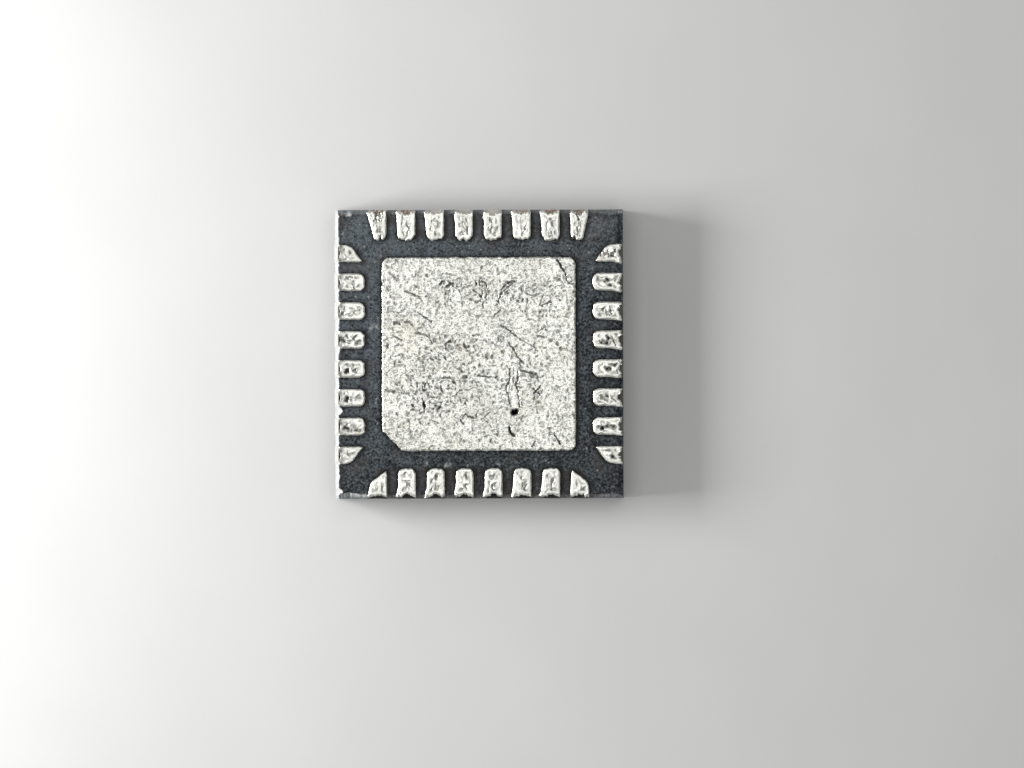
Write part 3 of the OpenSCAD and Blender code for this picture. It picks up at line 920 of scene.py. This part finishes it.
# Mould body: black epoxy with a silica filler, cast round the frame, the die and the wires as a panel and
# sawn apart. Its corners and upper edges carry pale scuffs, the filler shows as fine grey specks, and brown
# flux has stayed between the leads of the upper and lower rows. Light is painted on it as well: a painted
# highlight along the west upper edge, painted light that makes it paler towards the upper left, and a painted
# shadow beside the pad and the leads.
mould_grid = 0.017
mould_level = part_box("mould_body")[1].z
mould_round = 0.040
groove_depth = 0.030
crevice_reach = 0.070
mould_swell = 0.002
rim_drop = 0.035
rim_low = mould_level - rim_drop * mm
rim_wander = 0.014
rim_fade = 0.06
rim_slack = 1e-4
corner_room = 0.1
row_end = 1.92
gap_half = 0.09
flux_start = 1.95
flux_end = 1.85
flux_fade = 0.1
sawn_share = 0.7
mould_black = (0.010, 0.012, 0.013, 1.0)
mould_grey = (0.122, 0.142, 0.158, 1.0)
mould_brown = (0.070, 0.056, 0.052, 1.0)
mould_sawn = (0.036, 0.039, 0.042, 1.0)
flux_brown = (0.048, 0.040, 0.036, 1.0)
filler = (0.34, 0.35, 0.35, 1.0)
scuff_and_highlight = (0.76, 0.77, 0.76, 1.0)
# How pale the upper edge is painted on each side, as a highlight where the key lamp faces it: the way out of
# the package, and the share
rim_highlight = [(west, 1.0), (north, 0.10), (east, 0.0), (south, 0.10)]
# Chips in the upper edge: the way out of the package, the place along the edge, half length and reach
rim_chips = [
    (west, -0.98, 0.07, 0.06),
    (west, 1.36, 0.05, 0.03),
    (west, 0.08, 0.05, 0.02),
    (west, -2.40, 0.08, 0.07),
    (south, -2.25, 0.15, 0.04),
    (north, -2.30, 0.10, 0.04),
    (north, 2.25, 0.12, 0.03),
]
# Pale scuffs on the solder side, in the units of the pad's marks: half width, how pale, and the points
mould_scuffs = [
    (40, 35, [(-1.87, 0.42), (-1.82, 0.50), (-1.75, 0.47)]),
    (24, 45, [(-0.93, -1.92), (-0.91, -1.88)]),
    (30, 50, [(-0.58, -1.94), (-0.52, -1.90)]),
    (18, 50, [(-0.21, -1.95), (-0.20, -1.93)]),
    (20, 55, [(1.93, 1.13), (1.96, 1.12)]),
    (22, 40, [(1.83, -1.66), (1.86, -1.63)]),
    (16, 45, [(1.70, 0.54), (1.72, 0.52)]),
    (20, 40, [(-2.34, -1.15), (-2.31, -1.18)]),
    (14, 35, [(-1.80, -0.85), (-1.78, -0.80)]),
    (16, 40, [(0.31, -1.90), (0.36, -1.92)]),
    (14, 40, [(2.02, -2.05), (2.05, -2.02)]),
    (14, 35, [(-2.20, 2.18), (-2.17, 2.20)]),
    (26, 100, [(-2.42, -2.42), (-2.30, -2.44), (-2.15, -2.445), (-1.97, -2.45)]),
    (30, 90, [(-2.46, -2.38), (-2.43, -2.48)]),
    (20, 80, [(-2.30, 2.43), (-2.27, 2.40), (-2.22, 2.42)]),
    (26, 60, [(-2.40, 2.45), (-2.32, 2.45)]),
    (22, 80, [(2.25, 2.44), (2.29, 2.44)]),
    (20, 80, [(2.40, 2.44), (2.44, 2.43)]),
    (20, 35, [(1.96, -2.45), (2.38, -2.45)]),
    (90, 7, [(1.90, 2.05), (2.10, 2.15), (2.35, 2.30)]),
    (90, 7, [(1.95, 2.30), (2.20, 2.20), (2.30, 1.95)]),
]


def mould_compound():
    """Mottled black epoxy with painted light that makes it paler towards the upper left, with saw lines on
    its walls.
    """
    material, tree = new_material("mould_compound")
    position = place_on_part(tree)
    cloud = clouds(tree, position, size=0.044, Detail=4.0, Roughness=0.65, Distortion=0.5)
    shade = clouds(tree, position, size=0.30, Detail=2.0)
    tint = clouds(tree, position, size=0.44, Detail=2.0)
    speck = texture(tree, "Voronoi", position, size=0.11).outputs["Distance"]
    fine = clouds(tree, position, size=0.025, Detail=3.0, Roughness=0.6)
    place = axes(tree, position)
    # Painted light: paler towards the upper left, where the light comes from, darker towards the lower right
    towards_light = sums(tree, "SUBTRACT", sums(tree, "MULTIPLY", place["Y"], 1.2),
                     sums(tree, "MULTIPLY", place["X"], 0.8))
    pale = sums(tree, "ADD", ramp(tree, towards_light, -2.5 * mm, 5.2 * mm, -0.010, 0.088),
                sums(tree, "MULTIPLY", sums(tree, "SUBTRACT", shade, 0.5), 0.20))
    tone = sums(tree, "ADD", cloud, pale)
    colour = mixed(tree, ramp(tree, tone, 0.36, 0.70), mould_black, mould_grey)
    colour = mixed(tree, ramp(tree, tint, 0.52, 0.70, 0.0, 0.4), colour, mould_brown)
    shown = sums(tree, "MULTIPLY", ramp(tree, speck, 0.21, 0.08), ramp(tree, tone, 0.48, 0.60, 0.0, 0.8))
    colour = mixed(tree, shown, colour, filler)
    colour = mixed(tree, vertex_mask(tree, "flux"), colour, flux_brown)
    on_wall = used(tree, sawn_group, Position=position).outputs["On Wall"]
    colour = mixed(tree, sums(tree, "MULTIPLY", on_wall, sawn_share), colour, mould_sawn)
    # Painted shadow beside the pad and the leads
    colour = mixed(tree, vertex_mask(tree, "crevice_shadow"), colour, grime_and_shade)
    # Pale scuffs, and the painted highlight on the west upper edge
    worn = sums(tree, "MULTIPLY", vertex_mask(tree, "worn"), ramp(tree, fine, 0.25, 0.5, 0.7, 1.0))
    colour = mixed(tree, worn, colour, scuff_and_highlight)

    along_cut = tree.nodes.new("ShaderNodeMapping")
    along_cut.inputs["Scale"].default_value = (0.08, 0.08, 1.0)
    tree.links.new(position, along_cut.inputs["Vector"])
    saw_line = clouds(tree, along_cut.outputs["Vector"], size=0.02, Detail=2.0)
    height = sums(tree, "ADD", sums(tree, "MULTIPLY", fine, 0.6), sums(tree, "MULTIPLY", saw_line, on_wall))
    return finished(material, Base_Color=colour, Roughness=ramp(tree, cloud, 0.3, 0.7, 0.62, 0.48),
                    Normal=bumped(tree, height, strength=0.6, distance=0.006), Specular_IOR_Level=0.12)


def rubbed(x, y):
    """How pale the scuffs make the mould at a point."""
    pale = 0.0
    broken = held(0.55 + 1.5 * lumps(x, y, 0.035, 36))
    for (half_width, share, points), ((x_low, x_high), (y_low, y_high)) in roomed_scuffs:
        if x_low < x < x_high and y_low < y < y_high:
            away = from_line(strayed(x, y), points) / half_width
            pale = max(pale, share * held(1.4 - away) * broken)
    return pale


def sloping(bm):
    """The slanted faces of the upper rim."""
    return [f for f in bm.faces if 0.1 < f.normal.z < 0.95 and f.calc_center_median().z > rim_low]


def zipped(bm, top, low):
    """Joins two rows of points, sorted the same way, with a strip of small triangles that face up."""
    i = j = 0
    while i + 1 < len(top) or j + 1 < len(low):
        if j + 1 == len(low) or (i + 1 < len(top) and top[i + 1][0] < low[j + 1][0]):
            face = bm.faces.new((top[i][1], low[j][1], top[i + 1][1]))
            i += 1
        else:
            face = bm.faces.new((top[i][1], low[j][1], low[j + 1][1]))
            j += 1
        face.normal_update()
        if face.normal.z < 0:
            face.normal_flip()
        face.smooth = True


mould = opened("mould_body", mould_level, mould_grid)
slopes = sloping(mould)
seams = [e for e in mould.edges if len(e.link_faces) == 2 and all(f in slopes for f in e.link_faces)
         and e.link_faces[0].normal.dot(e.link_faces[1].normal) > 0.999]
bmesh.ops.dissolve_edges(mould, edges=seams)
for edge in [e for e in mould.edges if all(abs(v.co.z - rim_low) < 1e-6 for v in e.verts)]:
    cut_edge(edge, mould_grid)
mould.normal_update()
for slope in sloping(mould):
    axis = 1 if abs(slope.normal.x) > abs(slope.normal.y) else 0
    row = sorted(((v.co[axis], v) for v in slope.verts), key=lambda item: item[0])
    mould.faces.remove(slope)
    middle_level = (mould_level + rim_low) / 2
    zipped(mould, [p for p in row if p[1].co.z > middle_level], [p for p in row if p[1].co.z < middle_level])
worn = mould.verts.layers.float.new("worn")
roomed_scuffs = with_rooms(measured(mould_scuffs))
for vert in [v for v in mould.verts if v.co.z > rim_low - 1e-6]:
    vert[worn] = rubbed(vert.co.x / mm, vert.co.y / mm)
    # Painted highlight: the upper edge is pale on the side that faces the key lamp
    for way_out, share in rim_highlight:
        if wall - vert.co.xy.dot(way_out) / mm < rim_inset + rim_slack:
            vert[worn] = max(vert[worn], share)
on_rim = set()
for vert in [v for v in mould.verts if abs(v.co.z - mould_level) < same_level]:
    spot = vert.co.xy / mm
    for way_out, _ in rim_highlight:
        along = spot.dot(Vector((abs(way_out.y), abs(way_out.x))))
        from_gap = abs((along + lead_pitch / 2) % lead_pitch - lead_pitch / 2)
        if abs(wall - spot.dot(way_out) - rim_inset) < rim_slack and abs(along) < wall - corner_room:
            on_rim.add(vert)
            if abs(along) > row_end or from_gap < gap_half:
                bite = rim_wander * max(0.0, 0.4 + 1.5 * lumps(along, way_out.x, 0.09, 33))
                for side, place, half_length, reach in rim_chips:
                    if side == way_out:
                        bite += reach * max(0.0, 1 - ((along - place) / half_length) ** 2)
                vert.co.x -= bite * way_out.x * mm
                vert.co.y -= bite * way_out.y * mm
crevice_shadow = mould.verts.layers.float.new("crevice_shadow")
flux = mould.verts.layers.float.new("flux")
for vert, inset in filled(mould, mould_grid, seed=41):
    if vert not in on_rim:
        x, y = vert.co.x / mm, vert.co.y / mm
        drop = mould_swell + mould_swell * lumps(x, y, 0.06, 31) + mould_swell * lumps(x, y, 0.15, 32)
        vert.co.z -= (drop + round_over(inset.length, mould_round, groove_depth)) * mm
        # Painted shadow: the mould is darkened round the pad and the leads, most on their right side, away
        # from the key lamp
        shadow_side = held(inset.x / max(inset.length, 1e-6))
        clear_of_rim = held((wall - max(abs(x), abs(y)) - rim_inset) / rim_fade)
        vert[crevice_shadow] = held(1.3 - inset.length / crevice_reach) * (0.4 + 0.6 * shadow_side) * clear_of_rim
        vert[worn] = max(vert[worn], rubbed(x, y))
        between_leads = held((abs(y) - flux_start) / flux_fade) * held((flux_end - abs(x)) / flux_fade)
        vert[flux] = between_leads * held(0.5 + 0.8 * lumps(x, y, 0.2, 37))
dressed(mould, "mould_body_cast", "mould_body", mould_compound())

# Floor, light and camera. The floor is a plain pale sheet. A soft lamp stands low on the left, a wide soft
# one overhead, and the camera looks straight down on the solder side.
floor_pale = (0.74, 0.74, 0.73, 1.0)
floor_paler = (0.76, 0.76, 0.75, 1.0)
floor_half = 0.5
floor_gap = 2e-6
low_strength = 0.60
high_strength = 0.14


def floor_paint():
    material, tree = new_material("floor_paint")
    tone = clouds(tree, place_on_part(tree), size=3.0, Detail=2.0)
    colour = mixed(tree, ramp(tree, tone, 0.3, 0.7), floor_pale, floor_paler)
    return finished(material, Base_Color=colour, Roughness=0.9, Specular_IOR_Level=0.1)


floor_mesh = bpy.data.meshes.new("floor")
floor_corners = [(x * floor_half, y * floor_half, 0) for x, y in ((-1, -1), (1, -1), (1, 1), (-1, 1))]
floor_mesh.from_pydata(floor_corners, [], [(0, 1, 2, 3)])
floor_mesh.materials.append(floor_paint())
floor = bpy.data.objects.new("floor", floor_mesh)
floor.location.z = cad_box[0].z - floor_gap
bpy.context.collection.objects.link(floor)


def lamp(name, direction, distance, width, height, radiance):
    """An area lamp that shines on the part from a direction, its brightness given for its face."""
    light = bpy.data.lights.new(name, "AREA")
    light.shape = "RECTANGLE"
    light.size = width
    light.size_y = height
    light.energy = math.pi * width * height * radiance
    holder = bpy.data.objects.new(name, light)
    direction = Vector(direction).normalized()
    holder.location = direction * distance
    holder.rotation_euler = direction.to_track_quat("Z", "Y").to_euler()
    holder.visible_camera = False
    bpy.context.collection.objects.link(holder)


key_height = math.radians(26)
key_from = (-math.cos(key_height), 0.05, math.sin(key_height))
lamp("key", key_from, distance=0.03, width=0.015, height=0.0096, radiance=22.0)
lamp("overhead", (0.0, 0.08, 1.0), distance=0.16, width=0.14, height=0.14, radiance=1.25)

world = bpy.data.worlds.new("studio")
bpy.context.scene.world = world
world.use_nodes = True
room = world.node_tree
room.nodes["Background"].inputs["Color"].default_value = (1.0, 1.0, 1.0, 1.0)
upward = axes(room, room.nodes.new("ShaderNodeTexCoord").outputs["Generated"])["Z"]
strength = ramp(room, upward, 0.28, 0.52, low_strength, high_strength)
room.links.new(strength, room.nodes["Background"].inputs["Strength"])

photo_width = 1024
photo_height = 768
pixels_per_mm = 57.74
part_at_pixel = (479.0, 354.0)
part_turn = math.radians(0.15)
camera_height = 0.12
camera = bpy.data.objects.new("camera", bpy.data.cameras.new("camera"))
aim_x = (photo_width / 2 - part_at_pixel[0]) / pixels_per_mm * mm
aim_y = (part_at_pixel[1] - photo_height / 2) / pixels_per_mm * mm
camera.location = (aim_x, aim_y, solder_level + camera_height)
camera.rotation_euler = (0.0, 0.0, -part_turn)
camera.data.sensor_fit = "HORIZONTAL"
camera.data.angle = 2 * math.atan(photo_width / pixels_per_mm * mm / 2 / camera_height)
camera.data.clip_start = 0.005
camera.data.clip_end = 2.0
bpy.context.collection.objects.link(camera)
bpy.context.scene.camera = camera
bpy.context.scene.view_settings.view_transform = "Standard"
